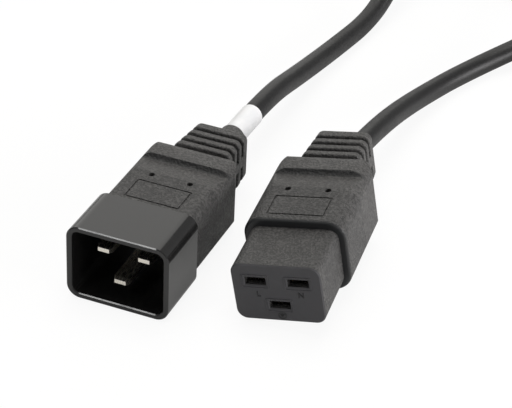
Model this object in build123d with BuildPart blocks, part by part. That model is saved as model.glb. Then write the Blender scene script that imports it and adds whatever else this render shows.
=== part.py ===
"""Jumper power cord: a three-pin shrouded plug and a three-slot connector on one round black cord."""
from build123d import *
import os
from math import cos, pi, radians, sin, tan

os.makedirs("parts", exist_ok=True)

# Pole layout that both connectors share, seen from their fronts, in millimetres
line_to_neutral = 13.0
earth_drop = 8.0

# Plug shroud, the glossy moulding round the pins
shroud_width = 33.0
shroud_height = 25.0
shroud_above_poles = 8.8
shroud_corner = 4.2
shroud_wall = 1.8
shroud_length = 20.4
shroud_rim_bevel = 0.3
cavity_depth = 19.0
tenon_width = 27.4
tenon_height = 19.4
tenon_corner = 3.0
tenon_length = 4.0

# Plug pins
pin_width = 5.0
pin_thickness = 2.0
pin_tip_width = 3.6
pin_tip_thickness = 1.3
pin_taper = 1.6
pole_tip_depth = 4.5
earth_tip_depth = 2.2
pin_tail = 3.0

# Connector insert, the nose with the three slots
nose_width = 27.2
nose_height = 19.3
nose_above_poles = 5.8
nose_corner = 3.2
nose_length = 19.9
nose_edge = 0.35
insert_tail = 6.0
slot_width = 6.3
slot_height = 2.5
slot_lead_in = 0.3
slot_face = 2.5
chamber_width = 6.9
chamber_height = 3.9

# Spring contacts inside the connector
contact_width = 6.5
contact_height = 3.5
contact_wall = 0.5
contact_start = 3.0
contact_length = 12.0
contact_neck_width = 4.0
contact_neck = 3.5

# Crimps and the three cores
barrel_diameter = 3.2
barrel_length = 6.5
strand_diameter = 1.5
core_diameter = 2.4
core_circle = 1.45
strip_gap = 0.8
core_straight = 2.0
core_bend = 2.5
bend_share = 0.95

# Inner moulding over the crimps
inner_width = 22.0
inner_height = 16.0
inner_corner = 3.0
inner_rear_wall = 5.9
jacket_grip = 4.0

# Overmoulded bodies
body_length = 36.0
body_draft = 0.5
plug_body_inset = 1.2
plug_body_corner = 4.2
shoulder_above = 2.75
shoulder_beside = 2.3
shoulder_below = 2.2
socket_body_corner = 6.2
shoulder_edge = 0.9
rear_corner = 4.5
rear_slope = 2.4
rear_drop = 0.6
rear_edge = 0.8
thumb_slope = 9.2
thumb_rise = 0.9
thumb_shelf = 7.8
thumb_depth = 1.8
thumb_root = 1.3
thumb_lip = 0.3
core_pin_hole = 1.9
core_pin_depth = 4.0
core_pin_spacing = 12.6
core_pin_place = 16.7
panel_width = 18.0
panel_length = 10.2
panel_start = 2.7
panel_line = 0.6
panel_line_depth = 0.3
panel_corner = 0.6

# Ribbed strain relief and its collar; the connector's cord turns aside and down on its way out
cord_below_top = 11.3
relief_width = 20.1
relief_height = 19.6
relief_end_width = 17.7
relief_end_height = 16.4
relief_corner = 2.4
relief_length = 20.0
relief_core = 10.6
relief_core_corner = 3.0
gap_count = 4
gap_width = 1.75
gap_pitch = 4.2
first_rib = 3.95
web_height = 3.3
rib_edge = 0.5
turn_place = 12.3
turn_radius = 36.0
socket_turn_aside = 1.6
socket_turn_down = 2.6
collar_diameter = 9.6
collar_length = 9.3
collar_root = 1.5
collar_taper = 2.5
collar_edge = 0.6

# Cord
cord_diameter = 7.2
arc_share = 0.45
label_start = 0.2
label_length = 15.0
label_wall = 0.25
plug_exit_run = 28.0
socket_exit_run = 10.0

# Put-away coil: a ring two turns wide and three high, with a tangent end on each side
coil_turns = 4.5
coil_columns = 2
coil_layers = 3
coil_middle = 79.2
coil_slack = 0.15
coil_centre = (22.9, 243.5)
coil_end = 38.0
coil_approach = 19.0
coil_tie_wall = 0.8
coil_tie_angle = 18.0
coil_edge = 3.0

# Where the two connectors lie: the middle of each front face, level with its upper poles
plug_at = (-22.19, -48.06, 16.2)
socket_at = (23.30, -37.26, 16.582)
socket_turn = (5.3, 1.8, -10.0)

front_view = Location((0, 0, 0), (90, 0, 0))
plug_face = Plane(Location(plug_at) * front_view)
socket_face = Plane(Location(socket_at, socket_turn, Intrinsic.ZXY) * front_view)

# Heights of the bodies' middles and sides over the pole row, and depths behind the front faces
plug_body_width = shroud_width - 2 * plug_body_inset
plug_body_height = shroud_height - 2 * plug_body_inset
plug_middle = shroud_above_poles - shroud_height / 2
plug_body_top = shroud_above_poles - plug_body_inset
plug_axis = plug_body_top - cord_below_top
socket_body_width = nose_width + 2 * shoulder_beside
socket_body_height = nose_height + shoulder_above + shoulder_below
socket_body_top = nose_above_poles + shoulder_above
socket_axis = socket_body_top - cord_below_top
nose_middle = nose_above_poles - nose_height / 2
plug_poles = {
    "line": (line_to_neutral / 2, 0, pole_tip_depth),
    "neutral": (-line_to_neutral / 2, 0, pole_tip_depth),
    "earth": (0, -earth_drop, earth_tip_depth),
}
socket_poles = {
    "line": (-line_to_neutral / 2, 0),
    "neutral": (line_to_neutral / 2, 0),
    "earth": (0, -earth_drop),
}
plug_crimp = shroud_length + tenon_length + pin_tail
socket_crimp = contact_start + contact_length + contact_neck
inner_end = nose_length + body_length - inner_rear_wall
collar_end = body_length + relief_length + collar_length


def behind(face, depth):
    """The plane that lies depth behind a connector's front face."""
    return face.offset(-depth)


def from_side(face):
    """A plane through the connector's middle, x to the rear and y up."""
    return Plane(origin=face.origin, x_dir=-face.z_dir, z_dir=face.x_dir)


def from_above(face):
    """A plane at the pole row, x to the connector's right and y to the rear."""
    return Plane(origin=face.origin, x_dir=face.x_dir, z_dir=face.y_dir)


def cord_line(axis, front, aside, down):
    """The held cord's start, its turn and the collar's mouth, in a connector's own coordinates."""
    return [
        (0, axis, jacket_grip - inner_end),
        (0, axis, -(front + body_length + turn_place)),
        (aside, axis - down, -(front + collar_end)),
    ]


def cord_mouth(face, line):
    """The plane across the cord where it leaves a collar, its normal along the cord."""
    turn, mouth = [face.from_local_coords(place) for place in line[1:]]
    return Plane(origin=mouth, z_dir=mouth - turn)


def finish(piece, name):
    """Name a finished piece and write it."""
    piece.part.label = name
    export_step(piece.part, f"parts/{name}.step")
    return piece


# Plug shroud: a rounded box open to the front, with a tenon behind that the body grips
with BuildPart() as plug_shroud:
    with BuildSketch(plug_face):
        with Locations((0, plug_middle)):
            RectangleRounded(shroud_width, shroud_height, shroud_corner)
    extrude(amount=-shroud_length)
    with BuildSketch(behind(plug_face, shroud_length)):
        with Locations((0, plug_middle)):
            RectangleRounded(tenon_width, tenon_height, tenon_corner)
    extrude(amount=-tenon_length)
    with BuildSketch(plug_face):
        with Locations((0, plug_middle)):
            RectangleRounded(
                shroud_width - 2 * shroud_wall, shroud_height - 2 * shroud_wall, shroud_corner - shroud_wall
            )
    extrude(amount=-cavity_depth, mode=Mode.SUBTRACT)
    chamfer(plug_shroud.faces().sort_by(Axis.Y)[0].edges(), shroud_rim_bevel)
    with BuildSketch(plug_face):
        for x, z, _ in plug_poles.values():
            with Locations((x, z)):
                Rectangle(pin_width, pin_thickness)
    extrude(amount=-(shroud_length + tenon_length), mode=Mode.SUBTRACT)
finish(plug_shroud, "plug_shroud")


def make_barrel(face, x, z, start):
    """The crimp barrel on a pin or contact: a short tube round the bare strands."""
    with BuildPart() as barrel:
        with BuildSketch(behind(face, start)):
            with Locations((x, z)):
                Circle(barrel_diameter / 2)
                Circle(strand_diameter / 2, mode=Mode.SUBTRACT)
        extrude(amount=-barrel_length)
    return barrel.part


def make_pin(pole):
    """A flat pin with a tapered tip, through the shroud's base to its crimp."""
    x, z, tip = plug_poles[pole]
    with BuildPart() as pin:
        with BuildSketch(behind(plug_face, tip)):
            with Locations((x, z)):
                Rectangle(pin_tip_width, pin_tip_thickness)
        with BuildSketch(behind(plug_face, tip + pin_taper)):
            with Locations((x, z)):
                Rectangle(pin_width, pin_thickness)
        loft()
        with BuildSketch(behind(plug_face, tip + pin_taper)):
            with Locations((x, z)):
                Rectangle(pin_width, pin_thickness)
        extrude(amount=-(plug_crimp - tip - pin_taper))
        add(make_barrel(plug_face, x, z, plug_crimp))
    return finish(pin, f"plug_pin_{pole}")


plug_pins = {pole: make_pin(pole) for pole in plug_poles}


def make_strands(face, name, x, z, start, stop):
    """The bare strands inside a crimp barrel, up to where the core's insulation starts."""
    with BuildPart() as strands:
        with BuildSketch(behind(face, start)):
            with Locations((x, z)):
                Circle(strand_diameter / 2)
        extrude(amount=-(stop - start))
    return finish(strands, name)


def make_core(face, name, x, z, start, axis, angle):
    """An insulated core from its crimp to its place in the jacket's end."""
    to_x = core_circle * cos(radians(angle))
    to_z = axis + core_circle * sin(radians(angle))
    jacket_start = inner_end - jacket_grip
    leave = Vector(x, z, -(start + core_straight))
    arrive = Vector(to_x, to_z, -(jacket_start - core_straight))
    room = bend_share * min(core_straight, (arrive - leave).length / 2)
    turn = (arrive - leave).get_angle(Vector(0, 0, -1))
    bend = min(core_bend, room / tan(radians(turn / 2)))
    with BuildPart() as core:
        with BuildLine(face):
            FilletPolyline(
                (x, z, -start), tuple(leave), tuple(arrive), (to_x, to_z, -jacket_start), radius=bend
            )
        with BuildSketch(behind(face, start)):
            with Locations((x, z)):
                Circle(core_diameter / 2)
        sweep()
    return finish(core, name)


plug_core_start = plug_crimp + barrel_length + strip_gap
socket_core_start = socket_crimp + barrel_length + strip_gap
core_angles = {"line": 30, "neutral": 150, "earth": 270}
socket_core_angles = {"line": 150, "neutral": 30, "earth": 270}
plug_strands = {}
plug_cores = {}
for pole, (x, z, _) in plug_poles.items():
    plug_strands[pole] = make_strands(plug_face, f"plug_strands_{pole}", x, z, plug_crimp, plug_core_start)
    plug_cores[pole] = make_core(
        plug_face, f"plug_core_{pole}", x, z, plug_core_start, plug_axis, core_angles[pole]
    )


def make_jacket_end(face, name, line):
    """The end of the cord that the moulding holds, from the inner moulding to the collar's mouth."""
    start, turn, mouth = line
    with BuildPart() as jacket:
        with BuildLine(face):
            if start[:2] == mouth[:2]:
                Line(start, mouth)
            else:
                FilletPolyline(start, turn, mouth, radius=turn_radius)
        with BuildSketch(behind(face, -start[2])):
            with Locations(start[:2]):
                Circle(cord_diameter / 2)
        sweep()
    return finish(jacket, name)


plug_line = cord_line(plug_axis, shroud_length, 0, 0)
socket_line = cord_line(socket_axis, nose_length, socket_turn_aside, socket_turn_down)
plug_mouth = cord_mouth(plug_face, plug_line)
socket_mouth = cord_mouth(socket_face, socket_line)
plug_jacket = make_jacket_end(plug_face, "plug_jacket_end", plug_line)
socket_jacket = make_jacket_end(socket_face, "socket_jacket_end", socket_line)


def make_inner_block(face, axis, start):
    """The first moulding shot's outer form: a block over the crimps and cores."""
    with BuildPart() as block:
        with BuildSketch(behind(face, start)):
            with Locations((0, axis)):
                RectangleRounded(inner_width, inner_height, inner_corner)
        extrude(amount=-(inner_end - start))
    return block


def make_inner_mould(face, name, axis, start, held):
    """The first moulding shot, with room for the pieces that it holds."""
    with BuildPart() as mould:
        add(make_inner_block(face, axis, start).part)
        for piece in held:
            add(piece.part, mode=Mode.SUBTRACT)
    return finish(mould, name)


make_inner_mould(
    plug_face,
    "plug_inner_mould",
    plug_axis,
    shroud_length + tenon_length,
    [*plug_pins.values(), *plug_strands.values(), *plug_cores.values(), plug_jacket],
)

# Connector insert: the nose, its three slots with lead-ins, and the contact chambers behind them
with BuildPart() as socket_insert:
    with BuildSketch(socket_face):
        with Locations((0, nose_middle)):
            RectangleRounded(nose_width, nose_height, nose_corner)
    extrude(amount=-(nose_length + insert_tail))
    chamfer(socket_insert.faces().sort_by(Axis.Y)[0].edges(), nose_edge)
    with BuildSketch(socket_face):
        for x, z in socket_poles.values():
            with Locations((x, z)):
                Rectangle(slot_width, slot_height)
    extrude(amount=-slot_face, mode=Mode.SUBTRACT)
    for x, z in socket_poles.values():
        with BuildSketch(socket_face):
            with Locations((x, z)):
                Rectangle(slot_width + 2 * slot_lead_in, slot_height + 2 * slot_lead_in)
        with BuildSketch(behind(socket_face, slot_lead_in)):
            with Locations((x, z)):
                Rectangle(slot_width, slot_height)
        loft(mode=Mode.SUBTRACT)
    with BuildSketch(behind(socket_face, slot_face)):
        for x, z in socket_poles.values():
            with Locations((x, z)):
                Rectangle(chamber_width, chamber_height)
    extrude(amount=-(nose_length + insert_tail - slot_face), mode=Mode.SUBTRACT)
finish(socket_insert, "socket_insert")


def make_contact(pole):
    """A folded spring box with a neck and a crimp barrel."""
    x, z = socket_poles[pole]
    with BuildPart() as contact:
        with BuildSketch(behind(socket_face, contact_start)):
            with Locations((x, z)):
                Rectangle(contact_width, contact_height)
                Rectangle(
                    contact_width - 2 * contact_wall, contact_height - 2 * contact_wall, mode=Mode.SUBTRACT
                )
        extrude(amount=-contact_length)
        with BuildSketch(behind(socket_face, contact_start + contact_length)):
            with Locations((x, z - contact_height / 2 + contact_wall / 2)):
                Rectangle(contact_neck_width, contact_wall)
        extrude(amount=-(contact_neck + barrel_length / 2))
        add(make_barrel(socket_face, x, z, socket_crimp))
    return finish(contact, f"socket_contact_{pole}")


socket_contacts = {pole: make_contact(pole) for pole in socket_poles}
socket_strands = {}
socket_cores = {}
for pole, (x, z) in socket_poles.items():
    socket_strands[pole] = make_strands(
        socket_face, f"socket_strands_{pole}", x, z, socket_crimp, socket_core_start
    )
    socket_cores[pole] = make_core(
        socket_face,
        f"socket_core_{pole}",
        x,
        z,
        socket_core_start,
        socket_axis,
        socket_core_angles[pole],
    )
make_inner_mould(
    socket_face,
    "socket_inner_mould",
    socket_axis,
    nose_length + insert_tail,
    [*socket_contacts.values(), *socket_strands.values(), *socket_cores.values(), socket_jacket],
)


def rib_edges(piece, face, depth, axis):
    """The edges of a rib's wall at a depth behind a face, clear of the relief's core and webs."""
    edges = []
    for edge in piece.edges():
        places = [face.to_local_coords(edge @ share) for share in (0, 0.5, 1)]
        middle = places[1]
        level = all(abs(place.Z + depth) < 0.01 for place in places)
        off_web = abs(middle.Y - axis) > web_height / 2 + 0.01
        beyond_core = max(abs(middle.X), abs(middle.Y - axis)) > relief_core / 2 + rib_edge
        if level and off_web and beyond_core:
            edges.append(edge)
    return edges


def make_body(face, name, front, width, height, corner, top, mouth, held, shoulder):
    """The overmould: gripped housing with a thumb rest, ribbed strain relief and collar."""
    middle = top - height / 2
    bottom = top - height
    axis = top - cord_below_top
    rear = front + body_length
    above = from_above(face)
    slope_end = rear - thumb_shelf - thumb_rise
    with BuildPart() as body:
        with BuildSketch(behind(face, front)):
            with Locations((0, middle)):
                RectangleRounded(width, height, corner)
        extrude(amount=-body_length)
        if shoulder:
            fillet(body.faces().sort_by(Axis.Y)[0].edges(), shoulder)

        # Plan: sides drawn in a little towards rounded rear corners
        with BuildSketch(above) as plan:
            with BuildLine():
                Polyline(
                    (-width / 2, front),
                    (width / 2, front),
                    (width / 2 - body_draft, rear),
                    (body_draft - width / 2, rear),
                    close=True,
                )
            make_face()
            fillet(plan.vertices().group_by(Axis.Y)[-1], rear_corner)
        extrude(amount=2 * height, both=True, mode=Mode.INTERSECT)

        # Side outline: the thumb rest sloping down to its riser, the shelf behind it and its rear slope
        with BuildSketch(from_side(face)) as outline:
            with BuildLine():
                Polyline(
                    (front, bottom),
                    (front, top),
                    (slope_end - thumb_slope, top),
                    (slope_end, top - thumb_depth),
                    (slope_end + thumb_rise, top),
                    (rear - rear_slope, top),
                    (rear, top - rear_drop),
                    (rear, bottom + body_draft),
                    close=True,
                )
            make_face()
            corners = {
                (slope_end, top - thumb_depth): thumb_root,
                (slope_end + thumb_rise, top): thumb_lip,
                (rear, top - rear_drop): rear_edge,
                (rear, bottom + body_draft): rear_edge,
            }
            for place, radius in corners.items():
                fillet(outline.vertices().sort_by_distance(place)[0], radius)
        extrude(amount=width, both=True, mode=Mode.INTERSECT)

        # Strain relief: a block that narrows to the rear, slotted above and below its side webs
        with BuildSketch(behind(face, rear - rear_slope)):
            with Locations((0, axis)):
                RectangleRounded(relief_width, relief_height, relief_corner)
        with BuildSketch(behind(face, rear + relief_length)):
            with Locations((0, axis)):
                RectangleRounded(relief_end_width, relief_end_height, relief_corner)
        loft(ruled=True)
        walls = [rear + relief_length]
        for i in range(gap_count):
            after = first_rib + i * gap_pitch
            gap = gap_width if i else first_rib
            with BuildSketch(behind(face, rear + after)):
                with Locations((0, axis)):
                    Rectangle(2 * relief_width, 2 * relief_height)
                    RectangleRounded(relief_core, relief_core, relief_core_corner, mode=Mode.SUBTRACT)
                    Rectangle(2 * relief_width, web_height, mode=Mode.SUBTRACT)
            extrude(amount=gap, mode=Mode.SUBTRACT)
            walls.append(rear + after)
            if i:
                walls.append(rear + after - gap)
        ribs = [edge for wall in walls for edge in rib_edges(body, face, wall, axis)]
        fillet(ribs, rib_edge)

        # Collar round the cord, square to the way the cord leaves
        with BuildSketch(mouth.offset(-(collar_length + collar_root))):
            Circle(collar_diameter / 2)
        extrude(amount=collar_length + collar_root, taper=collar_taper)
        fillet(body.faces().sort_by(Axis.Y)[-1].edges(), collar_edge)

        # Core-pin holes and the line round the bare panel on top
        with BuildSketch(above.offset(top - core_pin_depth)):
            with Locations((0, front + core_pin_place)):
                with GridLocations(core_pin_spacing, 0, 2, 1):
                    Circle(core_pin_hole / 2)
        extrude(amount=2 * core_pin_depth, mode=Mode.SUBTRACT)
        with BuildSketch(above.offset(top - panel_line_depth)):
            with Locations((0, front + panel_start + panel_length / 2)):
                RectangleRounded(panel_width, panel_length, panel_corner)
                RectangleRounded(
                    panel_width - 2 * panel_line,
                    panel_length - 2 * panel_line,
                    panel_corner / 2,
                    mode=Mode.SUBTRACT,
                )
        extrude(amount=2 * panel_line_depth, mode=Mode.SUBTRACT)
        for piece in held:
            add(piece.part, mode=Mode.SUBTRACT)
    return finish(body, name)


plug_body = make_body(
    plug_face,
    "plug_body",
    shroud_length,
    plug_body_width,
    plug_body_height,
    plug_body_corner,
    plug_body_top,
    plug_mouth,
    [plug_shroud, make_inner_block(plug_face, plug_axis, shroud_length), plug_jacket],
    0,
)
socket_body = make_body(
    socket_face,
    "socket_body",
    nose_length,
    socket_body_width,
    socket_body_height,
    socket_body_corner,
    socket_body_top,
    socket_mouth,
    [socket_insert, make_inner_block(socket_face, socket_axis, nose_length), socket_jacket],
    shoulder_edge,
)


def exit_points(mouth, run):
    """Where the cord leaves a collar, and the end of its first straight run."""
    return [mouth.origin, mouth.origin + mouth.z_dir * run]


# Routes of the two lengths of cord that are not coiled, from each collar to the coil
coil_x, coil_y = coil_centre
inner_turn = coil_middle / 2 - cord_diameter / 2
outer_turn = coil_middle / 2 + cord_diameter / 2
coil_top = coil_tie_wall + coil_slack + (coil_layers - 0.5) * cord_diameter
plug_route = [
    *exit_points(plug_mouth, plug_exit_run),
    (-20.8, 94.5, 7.3),
    (-18.4, 121.5, 4.4),
    (-14.7, 148.5, 3.8),
    (-13.3, 168.0, 10.2),
    (coil_x - inner_turn, coil_y - coil_end - coil_approach, coil_top),
    (coil_x - inner_turn, coil_y - coil_end, coil_top),
]
socket_route = [
    *exit_points(socket_mouth, socket_exit_run),
    (18.8, 77.0, 9.9),
    (20.4, 93.6, 6.8),
    (23.0, 108.0, 4.7),
    (26.3, 119.7, 3.9),
    (33.5, 136.5, 4.0),
    (46.5, 153.0, 8.2),
    (58.5, 168.0, 14.4),
    (coil_x + outer_turn, coil_y - coil_end - coil_approach, coil_top),
    (coil_x + outer_turn, coil_y - coil_end, coil_top),
]


def corner_radii(route):
    """The largest arc that each corner's two runs allow."""
    points = [Vector(p) for p in route]
    radii = []
    for before, corner, after in zip(points, points[1:], points[2:]):
        turn = (corner - before).get_angle(after - corner)
        shorter = min((corner - before).length, (after - corner).length)
        radii.append(arc_share * shorter / tan(radians(turn / 2)))
    return radii


def make_cord(route, name):
    """A length of cord: straight runs joined by tangent arcs."""
    radii = corner_radii(route)
    print(name, "arc radii", [round(r) for r in radii])
    with BuildPart() as cord:
        with BuildLine():
            centreline = FilletPolyline(*route, radius=radii)
        with BuildSketch(Plane(origin=centreline @ 0, z_dir=centreline % 0)):
            Circle(cord_diameter / 2)
        sweep()
    length = centreline.length
    section = pi * cord_diameter**2 / 4
    print(name, "length", round(length, 1), "volume over section", round(cord.part.volume / section, 1))
    finish(cord, name)
    return length


plug_length = make_cord(plug_route, "cord_plug_side")
socket_length = make_cord(socket_route, "cord_socket_side")

# Wrap label on the cord's first run behind the plug
with BuildPart() as cord_label:
    with BuildSketch(plug_mouth.offset(label_start)):
        Circle(cord_diameter / 2 + label_wall)
        Circle(cord_diameter / 2, mode=Mode.SUBTRACT)
    extrude(amount=label_length)
finish(cord_label, "cord_label")

# Coil: the outer form of all the turns, with the straight ends that the two lengths meet
ring_width = coil_columns * cord_diameter + 2 * coil_slack
ring_height = coil_layers * cord_diameter + 2 * coil_slack
ring_base = Plane.XZ.offset(-coil_y)
with BuildPart() as cord_coil:
    with BuildSketch(ring_base):
        with Locations((coil_x + coil_middle / 2, coil_tie_wall + ring_height / 2)):
            RectangleRounded(ring_width, ring_height, coil_edge)
    revolve(axis=Axis((coil_x, coil_y, 0), (0, 0, 1)))
    with BuildSketch(ring_base):
        with Locations((coil_x - inner_turn, coil_top), (coil_x + outer_turn, coil_top)):
            Circle(cord_diameter / 2)
    extrude(amount=coil_end)
finish(cord_coil, "cord_coil")

# Strap that ties the coil on its far side
with BuildPart() as coil_tie:
    tie_start = Plane(
        origin=(coil_x, coil_y, 0),
        x_dir=Vector(1, 0, 0).rotate(Axis.Z, 90 - coil_tie_angle / 2),
        z_dir=Vector(0, -1, 0).rotate(Axis.Z, 90 - coil_tie_angle / 2),
    )
    with BuildSketch(tie_start):
        with Locations((coil_middle / 2, coil_tie_wall + ring_height / 2)):
            RectangleRounded(
                ring_width + 2 * coil_tie_wall, ring_height + 2 * coil_tie_wall, coil_edge + coil_tie_wall
            )
            RectangleRounded(ring_width, ring_height, coil_edge, mode=Mode.SUBTRACT)
    revolve(axis=Axis((coil_x, coil_y, 0), (0, 0, 1)), revolution_arc=coil_tie_angle)
finish(coil_tie, "coil_tie")

cord_length = plug_length + socket_length + coil_turns * pi * coil_middle + 2 * coil_end
print("cord length in all", round(cord_length))
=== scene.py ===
# %% [markdown]
# This lesson dresses a jumper power cord: a shrouded three-pin plug and a three-slot connector,
# joined by one round black cord. The rigid mouldings come from the CAD model and only need good
# finishes. The cord, its label and the strap round its coil are soft, so they are made here, and
# so are the fine lines and signs on the connector's face. Everything is in the CAD model's own
# frame, in metres. Sizes that are easier to read in millimetres are multiplied by MM.

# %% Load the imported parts
from math import cos, pi, radians, sin

import bpy
from mathutils import Matrix, Vector


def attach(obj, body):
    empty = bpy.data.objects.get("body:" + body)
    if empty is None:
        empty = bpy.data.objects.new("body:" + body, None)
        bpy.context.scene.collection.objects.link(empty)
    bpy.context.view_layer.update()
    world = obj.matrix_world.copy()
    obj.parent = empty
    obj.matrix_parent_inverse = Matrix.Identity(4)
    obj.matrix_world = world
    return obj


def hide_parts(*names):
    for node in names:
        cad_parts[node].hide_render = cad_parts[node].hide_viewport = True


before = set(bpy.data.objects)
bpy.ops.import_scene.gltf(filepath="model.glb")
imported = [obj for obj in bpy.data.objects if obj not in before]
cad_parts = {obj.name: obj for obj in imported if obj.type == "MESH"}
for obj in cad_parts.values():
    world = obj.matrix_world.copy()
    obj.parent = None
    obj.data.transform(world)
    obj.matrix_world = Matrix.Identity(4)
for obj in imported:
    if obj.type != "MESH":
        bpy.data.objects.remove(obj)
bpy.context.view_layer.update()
MM = 0.001
print("parts loaded:", len(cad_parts))

# %% [markdown]
# The picture was taken from the right and above, with a long lens, from about 0.6 m away. A long
# lens keeps the two ends nearly the same size. The camera could be aimed with a constraint, but a
# measured place and turn hold still when something in the scene changes. Blender takes the lens
# in millimetres, so the one that was measured in pixels is scaled by the sensor's width.

# %% Camera
picture_width = 512
focal_in_pixels = 2000.0
camera_lens = bpy.data.cameras.new("camera")
camera_lens.sensor_width = 36.0
camera_lens.lens = camera_lens.sensor_width * focal_in_pixels / picture_width
camera = bpy.data.objects.new("camera", camera_lens)
camera.location = (0.186069, -0.474988, 0.350325)
camera.rotation_euler = [radians(turn) for turn in (56.6486, -2.2112, 22.6888)]
bpy.context.scene.collection.objects.link(camera)
bpy.context.scene.camera = camera
print("lens:", round(camera_lens.lens, 1), "mm")

# %% [markdown]
# The real cord is one length of stiff black cable, 7.2 mm thick. Each end comes straight out of its
# collar, sags to the floor within a few centimetres and runs off behind the ends. A mesh tube
# would show its facets in the bends, and a chain of arcs looks like bent wire, so the line is one
# NURBS spline: its control points pull it along without a kink. Points 1 to 8 follow the plug's
# end and the last eleven follow the connector's.

# %% The route at each end
cord_width = 7.2
cord_diameter = cord_width * MM
coil_x, coil_y = 22.9, 243.5
coil_top = 18.95
coil_end = 38.0
coil_approach = 19.0
inner_turn = 36.0
outer_turn = inner_turn + cord_width
plug_exit = (-22.19, 37.64, 12.5)
connector_exit = (17.9134, 47.9213, 14.2698)
plug_route = [
    plug_exit,
    (-22.19, 65.64, 12.5),
    (-20.8, 94.5, 7.3),
    (-18.4, 121.5, 4.4),
    (-14.7, 148.5, 3.8),
    (-13.3, 168.0, 10.2),
    (coil_x - inner_turn, coil_y - coil_end - coil_approach, coil_top),
    (coil_x - inner_turn, coil_y - coil_end, coil_top),
]
connector_route = [
    connector_exit,
    (18.1695, 57.8667, 13.258),
    (18.8, 77.0, 9.9),
    (20.4, 93.6, 6.8),
    (23.0, 108.0, 4.7),
    (26.3, 119.7, 3.9),
    (33.5, 136.5, 4.0),
    (46.5, 153.0, 8.2),
    (58.5, 168.0, 14.4),
    (coil_x + outer_turn, coil_y - coil_end - coil_approach, coil_top),
    (coil_x + outer_turn, coil_y - coil_end, coil_top),
]
print("route points:", len(plug_route), "and", len(connector_route))

# %% [markdown]
# The spare length is wound for storage, two turns wide and three high. A real winder lays the
# inner turns from the top down, steps out along the floor, and lays the outer turns back up, so
# that both ends leave the top without crossing a turn. Each step between layers is an S-shaped
# ease, and the steps in neighbouring turns are offset so that no turn passes through another. A
# spline cuts the corners between its control points, so they lie a little outside the turn.


# %% The coil's turns
def ease(turned, start, stop):
    """0 before start, 1 after stop, and a smooth S between them."""
    share = min(1.0, max(0.0, (turned - start) / (stop - start)))
    return share * share * (3 - 2 * share)


coil_turns = 4.5
points_per_turn = 18


def coil_point(turned):
    """A control point of the coil, for an angle turned clockwise from its left side."""
    down = ease(turned, 200, 300) + ease(turned, 560, 660)
    up = ease(turned, 1070, 1150) + ease(turned, 1430, 1510)
    radius = inner_turn + (outer_turn - inner_turn) * ease(turned, 730, 840)
    radius /= cos(pi / points_per_turn)
    angle = pi - radians(turned)
    height = coil_top + cord_width * (up - down)
    return (coil_x + radius * cos(angle), coil_y + radius * sin(angle), height)


point_step = 360.0 / points_per_turn
coil_points = [
    coil_point((i + 0.5) * point_step) for i in range(int(coil_turns * points_per_turn))
]
print("coil turns:", coil_turns, "with", len(coil_points), "points")

# %% [markdown]
# The spline gets all the points in order. Its order and end options are set after the points are
# there, because Blender lowers the order of a spline that is still empty. The bevel makes the
# tube. The same spline without a bevel gives a line of edges, which is measured for the length.


# %% One spline from collar to collar
def cord_curve(name, points, radius):
    """A curve object of one open NURBS spline through the route, with a round bevel."""
    curve = bpy.data.curves.new(name, "CURVE")
    curve.dimensions = "3D"
    spline = curve.splines.new("NURBS")
    spline.points.add(len(points) - 1)
    for spot, (x, y, z) in zip(spline.points, points):
        spot.co = (x * MM, y * MM, z * MM, 1.0)
    spline.order_u = 3
    spline.use_endpoint_u = True
    spline.resolution_u = 10
    curve.bevel_depth = radius
    curve.bevel_resolution = 6
    curve.use_fill_caps = radius > 0
    line = bpy.data.objects.new(name, curve)
    bpy.context.scene.collection.objects.link(line)
    return line


cord_points = [*plug_route, *coil_points, *reversed(connector_route)]
cord = cord_curve("jacketed_cord", cord_points, cord_diameter / 2)
centreline = cord_curve("cord_centreline", cord_points, 0.0)
bpy.context.view_layer.update()
centre_mesh = bpy.data.meshes.new_from_object(
    centreline.evaluated_get(bpy.context.evaluated_depsgraph_get())
)
cord_length = sum(
    (centre_mesh.vertices[e.vertices[0]].co - centre_mesh.vertices[e.vertices[1]].co).length
    for e in centre_mesh.edges
)
bpy.data.objects.remove(centreline)
print("cord length:", round(cord_length, 3), "m")

# %% [markdown]
# Small helpers keep the material cells short. They link a socket or set its value, add a node with
# its inputs set by name, do one step of maths, blend two colours, and start a material with its
# Principled shader.


# %% Helpers for nodes
def feed(tree, socket, value):
    """Link another socket to an input, or set the input's plain value."""
    if isinstance(value, bpy.types.NodeSocket):
        tree.links.new(value, socket)
    else:
        socket.default_value = value


def add_node(tree, kind, **inputs):
    """A new node with inputs set by name; an underscore stands for a space."""
    made = tree.nodes.new(kind)
    for name, value in inputs.items():
        feed(tree, made.inputs[name.replace("_", " ")], value)
    return made


def maths(tree, operation, first, second):
    """A Math node's result for two values or sockets."""
    made = tree.nodes.new("ShaderNodeMath")
    made.operation = operation
    for socket, value in zip(made.inputs, (first, second)):
        feed(tree, socket, value)
    return made.outputs["Value"]


def spread(tree, value, low, high, to_low, to_high):
    """A smooth change from to_low to to_high as value goes from low to high."""
    made = add_node(tree, "ShaderNodeMapRange", Value=value)
    made.interpolation_type = "SMOOTHSTEP"
    for name, number in zip(
        ("From Min", "From Max", "To Min", "To Max"), (low, high, to_low, to_high)
    ):
        made.inputs[name].default_value = number
    return made.outputs["Result"]


def mix_colours(tree, factor, first, second):
    """A blend of two colours by a factor."""
    made = tree.nodes.new("ShaderNodeMix")
    made.data_type = "RGBA"
    # Its sockets share their names with those for numbers, so the colour ones go by their place.
    for place, value in ((0, factor), (6, first), (7, second)):
        feed(tree, made.inputs[place], value)
    return made.outputs[2]


def start_material(name):
    """An empty material with its tree and Principled shader."""
    material = bpy.data.materials.new(name)
    material.use_nodes = True
    tree = material.node_tree
    return material, tree, tree.nodes["Principled BSDF"]


def object_position(tree):
    """The surface's place in metres, in the object's own coordinates."""
    return tree.nodes.new("ShaderNodeTexCoord").outputs["Object"]


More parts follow.
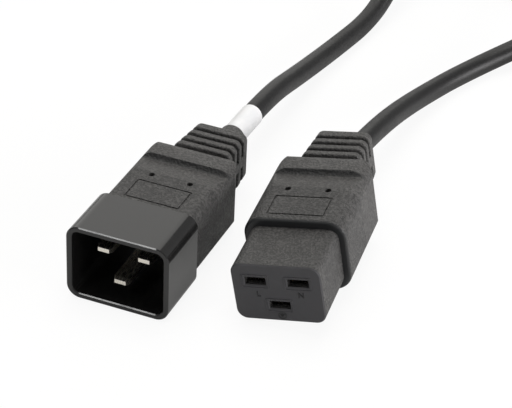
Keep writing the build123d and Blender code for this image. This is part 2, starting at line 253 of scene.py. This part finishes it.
def add_bump(tree, shader, height, strength, distance):
    """A Bump node from a height to the shader's normal."""
    bump = add_node(tree, "ShaderNodeBump", Height=height, Strength=strength, Distance=distance)
    tree.links.new(bump.outputs["Normal"], shader.inputs["Normal"])


def grey(value, warmth=0.0):
    """A grey colour, warmed or cooled a little."""
    return (value * (1 + warmth), value, value * (1 - warmth), 1.0)


# %% [markdown]
# Both overmouldings, the nose and the cord have a fine matte grain, which the mould's spark-eroded
# surface leaves. It could be drawn anew in each material, but one node group makes it for all of
# them: a fine noise for the grain, and a wider one that varies it a little, as real grain does.
# Each material gives the group its own sizes. A group holds only textures and maths, and the
# shader stays in the material.


# %% Group: moulded grain
def start_group(name, inputs, outputs):
    """A shader node group with named inputs and outputs."""
    group = bpy.data.node_groups.new(name, "ShaderNodeTree")
    for label, kind, value in inputs:
        socket = group.interface.new_socket(label, in_out="INPUT", socket_type=kind)
        if value is not None:
            socket.default_value = value
    for label in outputs:
        group.interface.new_socket(label, in_out="OUTPUT", socket_type="NodeSocketFloat")
    given = group.nodes.new("NodeGroupInput").outputs
    result = group.nodes.new("NodeGroupOutput").inputs
    return group, given, result


grain_group, given, result = start_group(
    "moulded grain",
    [
        ("Position", "NodeSocketVector", None),
        ("Grain Size", "NodeSocketFloat", 0.0004),
        ("Patch Size", "NodeSocketFloat", 0.006),
    ],
    ["Height", "Shade"],
)
fine = add_node(
    grain_group,
    "ShaderNodeTexNoise",
    Vector=given["Position"],
    Scale=maths(grain_group, "DIVIDE", 1.0, given["Grain Size"]),
    Detail=2.0,
    Roughness=0.6,
).outputs[0]
patches = add_node(
    grain_group,
    "ShaderNodeTexNoise",
    Vector=given["Position"],
    Scale=maths(grain_group, "DIVIDE", 1.0, given["Patch Size"]),
    Detail=3.0,
    Roughness=0.55,
).outputs[0]
sharp = spread(grain_group, fine, 0.38, 0.62, 0.0, 1.0)
soft = spread(grain_group, patches, 0.3, 0.7, 0.75, 1.0)
varied = maths(grain_group, "MULTIPLY", sharp, soft)
grain_group.links.new(varied, result["Height"])
half = maths(grain_group, "MULTIPLY", varied, 0.6)
wide = maths(grain_group, "MULTIPLY", patches, 0.4)
grain_group.links.new(maths(grain_group, "ADD", half, wide), result["Shade"])
print("group:", grain_group.name)

# %% [markdown]
# Plastic that has been handled carries faint smudges and a few specks of dust. Both are masks: a
# warped noise for the smudges, which change a finish's roughness, and the very middles of a cell
# pattern's cells for the specks.


# %% Group: light handling
def use_group(tree, group, **inputs):
    """A group's outputs in a material, with its inputs set by name."""
    made = tree.nodes.new("ShaderNodeGroup")
    made.node_tree = group
    for name, value in inputs.items():
        feed(tree, made.inputs[name.replace("_", " ")], value)
    return made.outputs


handling_group, given, result = start_group(
    "light handling",
    [("Position", "NodeSocketVector", None), ("Smudge Size", "NodeSocketFloat", 0.012)],
    ["Smudge", "Specks"],
)
smudges = add_node(
    handling_group,
    "ShaderNodeTexNoise",
    Vector=given["Position"],
    Scale=maths(handling_group, "DIVIDE", 1.0, given["Smudge Size"]),
    Detail=4.0,
    Roughness=0.6,
    Distortion=0.6,
).outputs[0]
handling_group.links.new(spread(handling_group, smudges, 0.35, 0.7, 0.0, 1.0), result["Smudge"])
dust = add_node(
    handling_group, "ShaderNodeTexVoronoi", Vector=given["Position"], Scale=650.0
).outputs["Distance"]
handling_group.links.new(spread(handling_group, dust, 0.03, 0.09, 1.0, 0.0), result["Specks"])
print("group:", handling_group.name)

# %% [markdown]
# The connector lies tilted on one edge, so its finishes are placed in its own frame: a Mapping node
# of the Texture kind turns the surface's place back into right, rear and up from the middle of
# the connector's front face. The plug lies square, so its frame is only moved.

# %% Frames of the two ends
plug_origin = Vector((-22.19, -48.06, 16.2)) * MM
connector_origin = Vector((23.30, -37.26, 16.582)) * MM
connector_right = Vector((0.981101, 0.085536, 0.173562))
connector_up = Vector((-0.170048, -0.046841, 0.984322))
connector_rear = connector_up.cross(connector_right).normalized()
connector_turn = Matrix((connector_right, connector_rear, connector_up)).transposed()


def local_position(tree, origin, turn=None):
    """Right, rear and up from a connector's front face, in metres."""
    mapping = add_node(tree, "ShaderNodeMapping", Vector=object_position(tree))
    mapping.vector_type = "TEXTURE"
    mapping.inputs["Location"].default_value = origin
    if turn is not None:
        mapping.inputs["Rotation"].default_value = turn.to_euler("XYZ")
    return mapping.outputs["Vector"]


print("connector tilt:", round(connector_right.z, 3))

# %% [markdown]
# The plug's shroud is a hard glossy moulding. Gloss alone looks like glass, so faint smudges
# change its roughness and a very low wave breaks up its reflections, as on real moulded walls.
# Its colour is nearly black: what shows of its form is what it mirrors.

# %% Finish: glossy shroud
shroud_finish, tree, shader = start_material("glossy shroud")
place = object_position(tree)
handling = use_group(tree, handling_group, Position=place, Smudge_Size=0.015)
grain = use_group(tree, grain_group, Position=place, Grain_Size=0.0011, Patch_Size=0.02)
shader.inputs["Base Color"].default_value = grey(0.009, 0.01)
tree.links.new(spread(tree, handling["Smudge"], 0.0, 1.0, 0.16, 0.22), shader.inputs["Roughness"])
shader.inputs["Specular IOR Level"].default_value = 0.55
add_bump(tree, shader, grain["Height"], 0.06, 0.00004)
print("finish:", shroud_finish.name)

# %% [markdown]
# The bodies are a softer compound with a matte grain. Their black is a warm grey in the light,
# and the grain shows as fine light specks on the sides. The rounded shoulder in front of the
# connector's body is smooth, and painted darker there as painted shade from the nose. The thumb
# rest and what lies behind it are a little paler, and the upper part of the step behind the thumb
# rest is painted dark, as painted shade on that step. All these could be separate materials, but
# their borders would be hard, so masks by depth and height blend them.

# %% Finish: matte overmoulding
rest_length = 0.0103
half_border = 0.0003


def overmould_finish(name, origin, turn, smooth_to, rest_from, top):
    """Grained compound, smooth with painted shade to one depth, paler from another, painted shade
    on the step.
    """
    material, tree, shader = start_material(name)
    place = local_position(tree, origin, turn)
    _, depth, height = add_node(tree, "ShaderNodeSeparateXYZ", Vector=place).outputs
    grained = spread(tree, depth, smooth_to - 0.001, smooth_to, 0.0, 1.0)
    paler = spread(tree, depth, rest_from - half_border, rest_from + half_border, 0.0, 1.0)
    grain = use_group(tree, grain_group, Position=place, Grain_Size=0.0008, Patch_Size=0.009)
    handling = use_group(tree, handling_group, Position=place, Smudge_Size=0.011)
    front = mix_colours(tree, grain["Shade"], grey(0.004, 0.03), grey(0.07, 0.03))
    rear = mix_colours(tree, grain["Shade"], grey(0.02, 0.03), grey(0.09, 0.03))
    plain = mix_colours(tree, paler, front, rear)
    # Painted shade: the upper part of the step behind the thumb rest is painted dark.
    step = rest_from + rest_length
    step_starts = spread(tree, depth, step - 0.0018, step - 0.001, 0.0, 0.8)
    step_ends = spread(tree, depth, step - half_border, step + half_border, 1.0, 0.0)
    upper = spread(tree, height, top - 0.0026, top - 0.002, 0.0, 1.0)
    painted_step_shade = maths(tree, "MULTIPLY", maths(tree, "MULTIPLY", step_starts, step_ends), upper)
    with_step_shade = mix_colours(tree, painted_step_shade, plain, grey(0.012, -0.03))
    specks = maths(tree, "MULTIPLY", handling["Specks"], 0.25)
    dusted = mix_colours(tree, specks, with_step_shade, grey(0.2, 0.02))
    # Where it is smooth, the colour is a darker grey: painted shade, as the nose shades the
    # shoulder.
    feed(tree, shader.inputs["Base Color"], mix_colours(tree, grained, grey(0.018, -0.06), dusted))
    rough = spread(tree, handling["Smudge"], 0.0, 1.0, 0.58, 0.5)
    smoother = spread(tree, grained, 0.0, 1.0, 0.75, 1.0)
    feed(tree, shader.inputs["Roughness"], maths(tree, "MULTIPLY", rough, smoother))
    shader.inputs["Specular IOR Level"].default_value = 0.47
    add_bump(tree, shader, maths(tree, "MULTIPLY", grain["Height"], grained), 0.85, 0.00025)
    return material


plug_body_finish = overmould_finish(
    "plug overmoulding", plug_origin, None, 0.0200, 0.0385, 0.0076
)
connector_body_finish = overmould_finish(
    "connector overmoulding", connector_origin, connector_turn, 0.0209, 0.0380, 0.00855
)
print("finishes:", plug_body_finish.name, "and", connector_body_finish.name)

# %% [markdown]
# The nose's front face came off a polished part of the mould: it is smooth and flat, and its
# colour is painted a little blue, a painted tint for the cooler light on faces turned to the
# front. Its sides are grained like the body. A mask by depth parts the two here as well.

# %% Finish: connector nose
nose_finish, tree, shader = start_material("connector nose")
place = local_position(tree, connector_origin, connector_turn)
depth = add_node(tree, "ShaderNodeSeparateXYZ", Vector=place).outputs["Y"]
grained = spread(tree, depth, 0.00025, 0.0005, 0.0, 1.0)
grain = use_group(tree, grain_group, Position=place, Grain_Size=0.0007, Patch_Size=0.008)
handling = use_group(tree, handling_group, Position=place, Smudge_Size=0.01)
sides = mix_colours(tree, grain["Shade"], grey(0.006, 0.03), grey(0.074, 0.03))
# The face's slight blue is a painted tint for the cooler light on faces turned to the front.
face = (0.045, 0.044, 0.048, 1.0)
feed(tree, shader.inputs["Base Color"], mix_colours(tree, grained, face, sides))
tree.links.new(spread(tree, handling["Smudge"], 0.0, 1.0, 0.5, 0.58), shader.inputs["Roughness"])
shader.inputs["Specular IOR Level"].default_value = 0.47
add_bump(tree, shader, maths(tree, "MULTIPLY", grain["Height"], grained), 0.75, 0.00022)
print("finish:", nose_finish.name)

# %% [markdown]
# The pins and contacts are nickel-plated brass: bright, faintly warm, with fine drawing lines
# along their length. A Mapping node that stretches the noise along the pin makes the lines.

# %% Finish: nickel plate
nickel_finish, tree, shader = start_material("nickel plate")
mapping = add_node(tree, "ShaderNodeMapping", Vector=object_position(tree))
mapping.inputs["Scale"].default_value = (1.0, 0.06, 1.0)
lines = add_node(
    tree, "ShaderNodeTexNoise", Vector=mapping.outputs["Vector"], Scale=6000.0, Detail=3.0
).outputs[0]
shader.inputs["Metallic"].default_value = 1.0
dull_nickel, bright_nickel = (0.66, 0.62, 0.54, 1.0), (0.86, 0.83, 0.76, 1.0)
feed(tree, shader.inputs["Base Color"], mix_colours(tree, lines, dull_nickel, bright_nickel))
tree.links.new(spread(tree, lines, 0.2, 0.8, 0.2, 0.36), shader.inputs["Roughness"])
add_bump(tree, shader, lines, 0.15, 0.00002)
print("finish:", nickel_finish.name)

# %% [markdown]
# Inside the mouldings are bare copper strands, three coloured cores and a plain grey first
# moulding. They are hidden, but a cut-away view may show them, so each has its own simple finish.


# %% Finish: hidden pieces
def plain_finish(name, colour, roughness, metallic=0.0):
    """A moulded or drawn finish with a little grain in its colour and height."""
    material, tree, shader = start_material(name)
    grain = use_group(
        tree, grain_group, Position=object_position(tree), Grain_Size=0.0006, Patch_Size=0.006
    )
    lighter = (*colour, 1.0)
    darker = (*(0.75 * part for part in colour), 1.0)
    feed(tree, shader.inputs["Base Color"], mix_colours(tree, grain["Shade"], darker, lighter))
    shader.inputs["Roughness"].default_value = roughness
    shader.inputs["Metallic"].default_value = metallic
    add_bump(tree, shader, grain["Height"], 0.15, 0.00005)
    return material


hidden_finishes = {
    "strands": plain_finish("copper strands", (0.72, 0.42, 0.26), 0.35, 1.0),
    "core_line": plain_finish("brown core", (0.27, 0.13, 0.06), 0.45),
    "core_neutral": plain_finish("blue core", (0.08, 0.2, 0.55), 0.45),
    "core_earth": plain_finish("green core", (0.3, 0.55, 0.12), 0.45),
    "inner_mould": plain_finish("first moulding", (0.12, 0.12, 0.12), 0.6),
}
print("hidden finishes:", len(hidden_finishes))

# %% [markdown]
# The cord's jacket is a satin black compound, a little smoother than the bodies, with a shallow
# grain. A drawn jacket has faint lines along it too, but they are too fine to see at this size,
# so the group's plain grain does, with the smudges of handling in its roughness.

# %% Finish: cord jacket
jacket_finish, tree, shader = start_material("cord jacket")
place = object_position(tree)
grain = use_group(tree, grain_group, Position=place, Grain_Size=0.0007, Patch_Size=0.012)
handling = use_group(tree, handling_group, Position=place, Smudge_Size=0.02)
jacket_black = mix_colours(tree, grain["Shade"], grey(0.005, -0.02), grey(0.014))
feed(tree, shader.inputs["Base Color"], jacket_black)
tree.links.new(spread(tree, handling["Smudge"], 0.0, 1.0, 0.4, 0.48), shader.inputs["Roughness"])
add_bump(tree, shader, grain["Height"], 0.2, 0.00008)
shader.inputs["Specular IOR Level"].default_value = 0.33
cord.data.materials.append(jacket_finish)
print("finish:", jacket_finish.name)

# %% [markdown]
# A white film label is wrapped round the cord just behind the plug. The film is smooth and has a
# thin clear coat. It is a little uneven where it was handled, and it is left bare.

# %% Finish: label film
film_finish, tree, shader = start_material("label film")
place = object_position(tree)
handling = use_group(tree, handling_group, Position=place, Smudge_Size=0.006)
tree.links.new(
    mix_colours(tree, handling["Smudge"], (0.74, 0.75, 0.765, 1), (0.81, 0.81, 0.82, 1)),
    shader.inputs["Base Color"],
)
shader.inputs["Roughness"].default_value = 0.35
shader.inputs["Coat Weight"].default_value = 0.4
add_bump(tree, shader, handling["Smudge"], 0.1, 0.0001)
print("finish:", film_finish.name)

# %% [markdown]
# Geometry Nodes make the label and the lines on the connector's face. Each tree starts with a
# geometry and named sizes, and ends by making its instances real and giving them a material,
# because instances are lost on the way out of Blender. The result is kept as a plain mesh.


# %% Geometry helpers
def start_geometry(name, inputs):
    """A Geometry Nodes tree with a geometry in and out and named inputs."""
    tree = bpy.data.node_groups.new(name, "GeometryNodeTree")
    tree.interface.new_socket("Geometry", in_out="INPUT", socket_type="NodeSocketGeometry")
    for label, kind in inputs:
        tree.interface.new_socket(label, in_out="INPUT", socket_type=kind)
    tree.interface.new_socket("Geometry", in_out="OUTPUT", socket_type="NodeSocketGeometry")
    given = tree.nodes.new("NodeGroupInput").outputs
    outcome = tree.nodes.new("NodeGroupOutput").inputs
    return tree, given, outcome


def end_geometry(tree, made, material, outcome):
    """Realize the instances, set the material and link the result out."""
    real = add_node(tree, "GeometryNodeRealizeInstances", Geometry=made)
    painted = add_node(
        tree, "GeometryNodeSetMaterial", Geometry=real.outputs["Geometry"], Material=material
    )
    tree.links.new(painted.outputs["Geometry"], outcome["Geometry"])


def settle(name, mesh, tree, values):
    """Run a tree on a mesh with named input values, and keep the result as a plain mesh."""
    piece = bpy.data.objects.new(name, mesh)
    bpy.context.scene.collection.objects.link(piece)
    modifier = piece.modifiers.new(tree.name, "NODES")
    modifier.node_group = tree
    for item in tree.interface.items_tree:
        if item.in_out == "INPUT" and item.name in values:
            modifier[item.identifier] = values[item.name]
    bpy.context.view_layer.update()
    finished = bpy.data.meshes.new_from_object(
        piece.evaluated_get(bpy.context.evaluated_depsgraph_get())
    )
    piece.modifiers.clear()
    piece.data = finished
    print(name, "faces:", len(finished.polygons))
    return piece


print("geometry helpers ready")

# %% [markdown]
# The label bends with the cord, so it follows the cord's own centreline. A straight tube would
# stand off it in the bend. The line is trimmed to the label's stretch, and a circle that stands a
# quarter of a millimetre off the cord is swept along it.

# %% Label along the cord
sleeve_tree, given, outcome = start_geometry(
    "sleeve along a line",
    [("Start", "NodeSocketFloat"), ("End", "NodeSocketFloat"), ("Radius", "NodeSocketFloat")],
)
line = add_node(sleeve_tree, "GeometryNodeMeshToCurve", Mesh=given["Geometry"]).outputs["Curve"]
trim = sleeve_tree.nodes.new("GeometryNodeTrimCurve")
trim.mode = "LENGTH"
sleeve_tree.links.new(line, trim.inputs["Curve"])
# The sockets for lengths share their names with those for factors, so they go by their place.
sleeve_tree.links.new(given["Start"], trim.inputs[4])
sleeve_tree.links.new(given["End"], trim.inputs[5])
ring = add_node(
    sleeve_tree, "GeometryNodeCurvePrimitiveCircle", Resolution=40, Radius=given["Radius"]
).outputs["Curve"]
sleeve = add_node(
    sleeve_tree,
    "GeometryNodeCurveToMesh",
    Curve=trim.outputs["Curve"],
    Profile_Curve=ring,
    Fill_Caps=True,
)
end_geometry(sleeve_tree, sleeve.outputs["Mesh"], film_finish, outcome)
label = settle(
    "cord_wrap_label",
    centre_mesh.copy(),
    sleeve_tree,
    {"Start": 0.0003, "End": 0.0153, "Radius": cord_diameter / 2 + 0.00025},
)

# %% [markdown]
# A hook-and-loop strap holds the coil on its far side. Its weave is a cell pattern with nearly
# even cells, in its colour and its height, and a little sheen stands for the loose fibres.

# %% Finish: woven strap
strap_finish, tree, shader = start_material("woven strap")
mapping = add_node(tree, "ShaderNodeMapping", Vector=object_position(tree))
mapping.vector_type = "TEXTURE"
mapping.inputs["Location"].default_value = (coil_x * MM, coil_y * MM, 0.0)
weave = add_node(
    tree, "ShaderNodeTexVoronoi", Vector=mapping.outputs["Vector"], Scale=1900.0, Randomness=0.35
).outputs["Distance"]
feed(tree, shader.inputs["Base Color"], mix_colours(tree, weave, grey(0.03), grey(0.07)))
shader.inputs["Roughness"].default_value = 0.85
shader.inputs["Sheen Weight"].default_value = 0.3
add_bump(tree, shader, weave, 0.5, 0.0003)
print("finish:", strap_finish.name)

# %% [markdown]
# The strap goes round all the turns once. A real one laps over itself, but the lap is pressed flat,
# so a closed band does. It is a short strip, so it is built directly: a rounded outline round the
# turns, swept a few degrees round the coil's centre, then given its thickness by a modifier.


# %% Strap round the coil
def strap_outline(half_width, half_height, corner, steps):
    """A rounded rectangle round the turns, as pairs across and up from the ring's middle."""
    outline = []
    for quarter in range(4):
        across = half_width - corner if quarter in (0, 3) else corner - half_width
        up = half_height - corner if quarter in (0, 1) else corner - half_height
        for step in range(steps + 1):
            angle = (quarter + step / steps) * pi / 2
            outline.append((across + corner * cos(angle), up + corner * sin(angle)))
    return outline


strap_wall = 0.7
strap_room = 0.2
strap_corner = 3.3
strap_half_angle = radians(8.6)
strap_steps = 12
turns_middle = (inner_turn + outer_turn) / 2
turns_height = coil_top - cord_width
outline = strap_outline(cord_width + strap_room, 1.5 * cord_width + strap_room, strap_corner, 8)
strap_points = []
for i in range(strap_steps + 1):
    angle = pi / 2 + strap_half_angle * (2 * i / strap_steps - 1)
    for across, up in outline:
        radius = turns_middle + across
        point = (coil_x + radius * cos(angle), coil_y + radius * sin(angle), turns_height + up)
        strap_points.append([part * MM for part in point])
around = len(outline)
strap_faces = []
for i in range(strap_steps):
    for j in range(around):
        here, there = i * around, (i + 1) * around
        after = (j + 1) % around
        strap_faces.append((here + j, here + after, there + after, there + j))
strap_mesh = bpy.data.meshes.new("coil_strap")
strap_mesh.from_pydata(strap_points, [], strap_faces)
strap_mesh.materials.append(strap_finish)
strap = bpy.data.objects.new("coil_strap", strap_mesh)
bpy.context.scene.collection.objects.link(strap)
thicken = strap.modifiers.new("thickness", "SOLIDIFY")
thicken.thickness = strap_wall * MM
thicken.offset = -1.0
round_off = strap.modifiers.new("soft edges", "BEVEL")
round_off.width = 0.2 * MM
round_off.segments = 2
print("strap faces:", len(strap_faces))

# %% [markdown]
# On the connector's face, a fine raised line runs round each slot. Three frames from one pattern
# are a job for instances: a rounded rectangle is swept with a thin square section and placed on
# three points. Half of the section lies in the face, so that no gap shows.

# %% Lines round the slots
frame_tree, given, outcome = start_geometry(
    "frames on points",
    [
        ("Width", "NodeSocketFloat"),
        ("Height", "NodeSocketFloat"),
        ("Line", "NodeSocketFloat"),
        ("Corner", "NodeSocketFloat"),
        ("Turn", "NodeSocketVector"),
    ],
)
box = add_node(
    frame_tree,
    "GeometryNodeCurvePrimitiveQuadrilateral",
    Width=given["Width"],
    Height=given["Height"],
).outputs["Curve"]
rounded = frame_tree.nodes.new("GeometryNodeFilletCurve")
frame_tree.links.new(box, rounded.inputs["Curve"])
rounded.mode = "POLY"
rounded.inputs["Count"].default_value = 4
frame_tree.links.new(given["Corner"], rounded.inputs["Radius"])
section = add_node(
    frame_tree,
    "GeometryNodeCurvePrimitiveQuadrilateral",
    Width=given["Line"],
    Height=given["Line"],
).outputs["Curve"]
swept = add_node(
    frame_tree, "GeometryNodeCurveToMesh", Curve=rounded.outputs["Curve"], Profile_Curve=section
).outputs["Mesh"]
placed = add_node(
    frame_tree,
    "GeometryNodeInstanceOnPoints",
    Points=given["Geometry"],
    Instance=swept,
    Rotation=given["Turn"],
).outputs["Instances"]
end_geometry(frame_tree, placed, nose_finish, outcome)
connector_frame = Matrix.Translation(connector_origin) @ connector_turn.to_4x4()
slot_places = [(-6.5, 0.0), (6.5, 0.0), (0.0, -8.0)]
slot_mesh = bpy.data.meshes.new("slot_points")
slot_mesh.from_pydata(
    [connector_frame @ Vector((x * MM, 0.0, z * MM)) for x, z in slot_places], [], []
)
face_turn = connector_turn @ Matrix.Rotation(pi / 2, 3, "X")
slot_lines = settle(
    "slot_outlines",
    slot_mesh,
    frame_tree,
    {
        "Width": 8.1 * MM,
        "Height": 4.3 * MM,
        "Line": 0.28 * MM,
        "Corner": 0.5 * MM,
        "Turn": face_turn.to_euler("XYZ"),
    },
)

# %% [markdown]
# The poles are marked on the face in small raised signs: a plain letter each for line and neutral,
# and a ring with bars for earth. They are the face's compound, but their finish is painted darker
# than the face, as painted shade, so that they show. The letters start as text, and become a mesh
# before they are placed, so that their object stays at the origin.

# %% Pole marks
# Painted shade: the marks are the face's compound, painted darker than the face so that they show.
mark_finish = plain_finish("pole marks", (0.01, 0.01, 0.011), 0.45)
mark_rise = 0.15
letter_height = 1.9
size_per_height = 1.35


def raised_letter(name, sign, x, z):
    """A raised letter on the connector's face, its middle at x and z from the pole row."""
    text = bpy.data.curves.new(name, "FONT")
    text.body = sign
    text.size = letter_height * MM * size_per_height
    text.extrude = mark_rise * MM
    text.offset = 0.03 * MM
    text.align_x = "CENTER"
    text.align_y = "CENTER"
    source = bpy.data.objects.new(name, text)
    bpy.context.scene.collection.objects.link(source)
    bpy.context.view_layer.update()
    mesh = bpy.data.meshes.new_from_object(
        source.evaluated_get(bpy.context.evaluated_depsgraph_get())
    )
    bpy.data.objects.remove(source)
    upright = Matrix.Rotation(pi / 2, 4, "X")
    mesh.transform(connector_frame @ Matrix.Translation((x * MM, 0.0, z * MM)) @ upright)
    mesh.materials.clear()
    mesh.materials.append(mark_finish)
    mark = bpy.data.objects.new(name, mesh)
    bpy.context.scene.collection.objects.link(mark)
    return mark


line_mark = raised_letter("line_mark", "L", -6.0, -4.4)
neutral_mark = raised_letter("neutral_mark", "N", 7.0, -4.0)
print("marks:", line_mark.name, neutral_mark.name)

# %% [markdown]
# The earth sign is not a letter of the built-in font. It is three level bars that get longer
# upwards, one upright bar on top, and a ring round them: a few boxes and a band of quads, quickest
# made straight from their corners.

# %% Earth mark
earth_x, earth_z = 0.4, -11.45
mark_root = 0.05
bar_width = 0.18
ring_inside, ring_outside = 1.0, 1.25
level_bars = [(-0.35, 0.45), (-0.05, 0.85), (0.25, 1.25)]
earth_verts = []
earth_faces = []


def add_bar(z, width, height):
    """A raised bar on the face, in the middle of the sign."""
    start = len(earth_verts)
    for depth in (mark_root, -mark_rise):
        for across, up in ((-1, -1), (1, -1), (1, 1), (-1, 1)):
            corner = (earth_x + across * width / 2, depth, earth_z + z + up * height / 2)
            earth_verts.append(corner)
    sides = ((0, 1, 5, 4), (1, 2, 6, 5), (2, 3, 7, 6), (3, 0, 4, 7))
    for quad in ((4, 5, 6, 7), (3, 2, 1, 0), *sides):
        earth_faces.append(tuple(start + corner for corner in quad))


for z, width in level_bars:
    add_bar(z, width, bar_width)
add_bar(0.55, bar_width, 0.7)
ring_steps = 32
ring_start = len(earth_verts)
ring_section = (
    (ring_inside, mark_root),
    (ring_inside, -mark_rise),
    (ring_outside, -mark_rise),
    (ring_outside, mark_root),
)
for step in range(ring_steps):
    angle = 2 * pi * step / ring_steps
    for radius, depth in ring_section:
        corner = (earth_x + radius * cos(angle), depth, earth_z + radius * sin(angle))
        earth_verts.append(corner)
for step in range(ring_steps):
    here = ring_start + 4 * step
    there = ring_start + 4 * ((step + 1) % ring_steps)
    for corner in range(4):
        after = (corner + 1) % 4
        earth_faces.append((here + corner, here + after, there + after, there + corner))
earth_mesh = bpy.data.meshes.new("earth_mark")
earth_mesh.from_pydata([connector_frame @ (Vector(v) * MM) for v in earth_verts], [], earth_faces)
earth_mesh.materials.append(mark_finish)
earth_mark = bpy.data.objects.new("earth_mark", earth_mesh)
bpy.context.scene.collection.objects.link(earth_mark)
print("earth mark faces:", len(earth_faces))

# %% [markdown]
# The CAD pieces stay as they are and only get their finishes. A table from the start of a
# piece's name to its finish is shorter than a line for each, and prints what it did.

# %% Finishes on the CAD pieces
finishes = {
    "plug_shroud": shroud_finish,
    "plug_body": plug_body_finish,
    "socket_body": connector_body_finish,
    "socket_insert": nose_finish,
    "plug_jacket_end": jacket_finish,
    "socket_jacket_end": jacket_finish,
    "plug_pin": nickel_finish,
    "socket_contact": nickel_finish,
}
for end in ("plug", "socket"):
    for kind, finish in hidden_finishes.items():
        finishes[f"{end}_{kind}"] = finish
dressed = 0
for node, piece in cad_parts.items():
    for start, finish in finishes.items():
        if node.startswith(start):
            for slot in piece.material_slots:
                slot.material = finish
            dressed += 1
print("CAD pieces dressed:", dressed)

# %% [markdown]
# The stage is a white floor. To the camera, and through clear pieces, most of it glows a plain
# white, so that it stays white while a soft shadow shows where the pieces touch it. Reflections
# see a share of the same white: with all of it the black plastic would turn grey, and with none
# the pins would look dull. The glow could light the pieces as well, but it is kept off them, so
# that they look right under other light too.


# %% Floor
def background_rays(tree, mirror_share):
    """1 for camera and transmission rays, and a share of 1 for reflections."""
    rays = tree.nodes.new("ShaderNodeLightPath").outputs
    direct = maths(tree, "MAXIMUM", rays["Is Camera Ray"], rays["Is Transmission Ray"])
    mirrored = maths(tree, "MULTIPLY", rays["Is Glossy Ray"], mirror_share)
    return maths(tree, "MAXIMUM", direct, mirrored)


floor_mesh = bpy.data.meshes.new("floor")
floor_mesh.from_pydata([(-6, -6, 0), (6, -6, 0), (6, 6, 0), (-6, 6, 0)], [], [(0, 1, 2, 3)])
floor = bpy.data.objects.new("floor", floor_mesh)
bpy.context.scene.collection.objects.link(floor)
floor_finish, tree, shader = start_material("white floor")
shader.inputs["Base Color"].default_value = grey(0.66)
shader.inputs["Roughness"].default_value = 1.0
shader.inputs["Specular IOR Level"].default_value = 0.0
glow = add_node(tree, "ShaderNodeEmission", Color=(1, 1, 1, 1), Strength=1.05)
glowing = maths(tree, "MULTIPLY", background_rays(tree, 0.25), 0.86)
blend = add_node(tree, "ShaderNodeMixShader", Fac=glowing)
tree.links.new(shader.outputs["BSDF"], blend.inputs[1])
tree.links.new(glow.outputs["Emission"], blend.inputs[2])
tree.links.new(blend.outputs["Shader"], tree.nodes["Material Output"].inputs["Surface"])
floor_mesh.materials.append(floor_finish)
print("floor ready")

# %% [markdown]
# Black plastic needs broad, soft light, because it shows its form only through what it reflects.
# One bare lamp would leave hard white spots. A large panel above lights the tops. An even panel
# behind is what the shroud's top mirrors, and its reflection ends at the rounded edge, which
# stays dark. A low, wide panel on the right lights the connector's side, and the connector
# shades the plug's. A small lamp in front draws the bright lines on the shroud's rim. The world
# is white where it is seen, and fills the rest weakly.


# %% Lights
def soft_panel(name, place, width, height, power, colour):
    """An area lamp of a width and a height in metres, that faces the two ends."""
    lamp = bpy.data.lights.new(name, "AREA")
    lamp.shape = "RECTANGLE"
    lamp.size = width
    lamp.size_y = height
    lamp.energy = power
    lamp.color = colour
    panel = bpy.data.objects.new(name, lamp)
    panel.location = place
    aim = Vector((0.0, 0.0, 0.01)) - Vector(place)
    panel.rotation_euler = aim.to_track_quat("-Z", "Y").to_euler()
    bpy.context.scene.collection.objects.link(panel)


warm_white = (1.0, 0.985, 0.95)
soft_panel("top panel", (-0.1, 0.2, 1.25), 1.0, 1.0, 11.8, warm_white)
soft_panel("back panel", (-0.57, 1.18, 0.75), 1.2, 1.2, 4.7, warm_white)
soft_panel("right panel", (1.15, 0.1, 0.26), 1.3, 0.5, 16.0, (1.0, 0.985, 0.995))
soft_panel("edge light", (-0.45, -0.73, 0.92), 0.17, 0.17, 1.1, (1.0, 1.0, 1.0))
world = bpy.data.worlds.new("studio")
bpy.context.scene.world = world
world.use_nodes = True
tree = world.node_tree
fill = tree.nodes["Background"]
fill.inputs["Color"].default_value = (1, 1, 1, 1)
fill.inputs["Strength"].default_value = 0.2
white = add_node(tree, "ShaderNodeBackground", Color=(1, 1, 1, 1), Strength=1.0)
blend = add_node(tree, "ShaderNodeMixShader", Fac=background_rays(tree, 0.18))
tree.links.new(fill.outputs["Background"], blend.inputs[1])
tree.links.new(white.outputs["Background"], blend.inputs[2])
tree.links.new(blend.outputs["Shader"], tree.nodes["World Output"].inputs["Surface"])
bpy.context.scene.view_settings.view_transform = "Standard"
print("lights ready")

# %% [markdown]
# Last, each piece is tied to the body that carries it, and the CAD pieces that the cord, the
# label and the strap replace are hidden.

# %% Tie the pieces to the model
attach(cord, "root")
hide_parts("cord_plug_side", "cord_coil", "cord_socket_side")
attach(label, "root")
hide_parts("cord_label")
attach(strap, "root")
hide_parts("coil_tie")
for piece in (slot_lines, line_mark, neutral_mark, earth_mark):
    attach(piece, "root")

# %% Done
print("scene built")
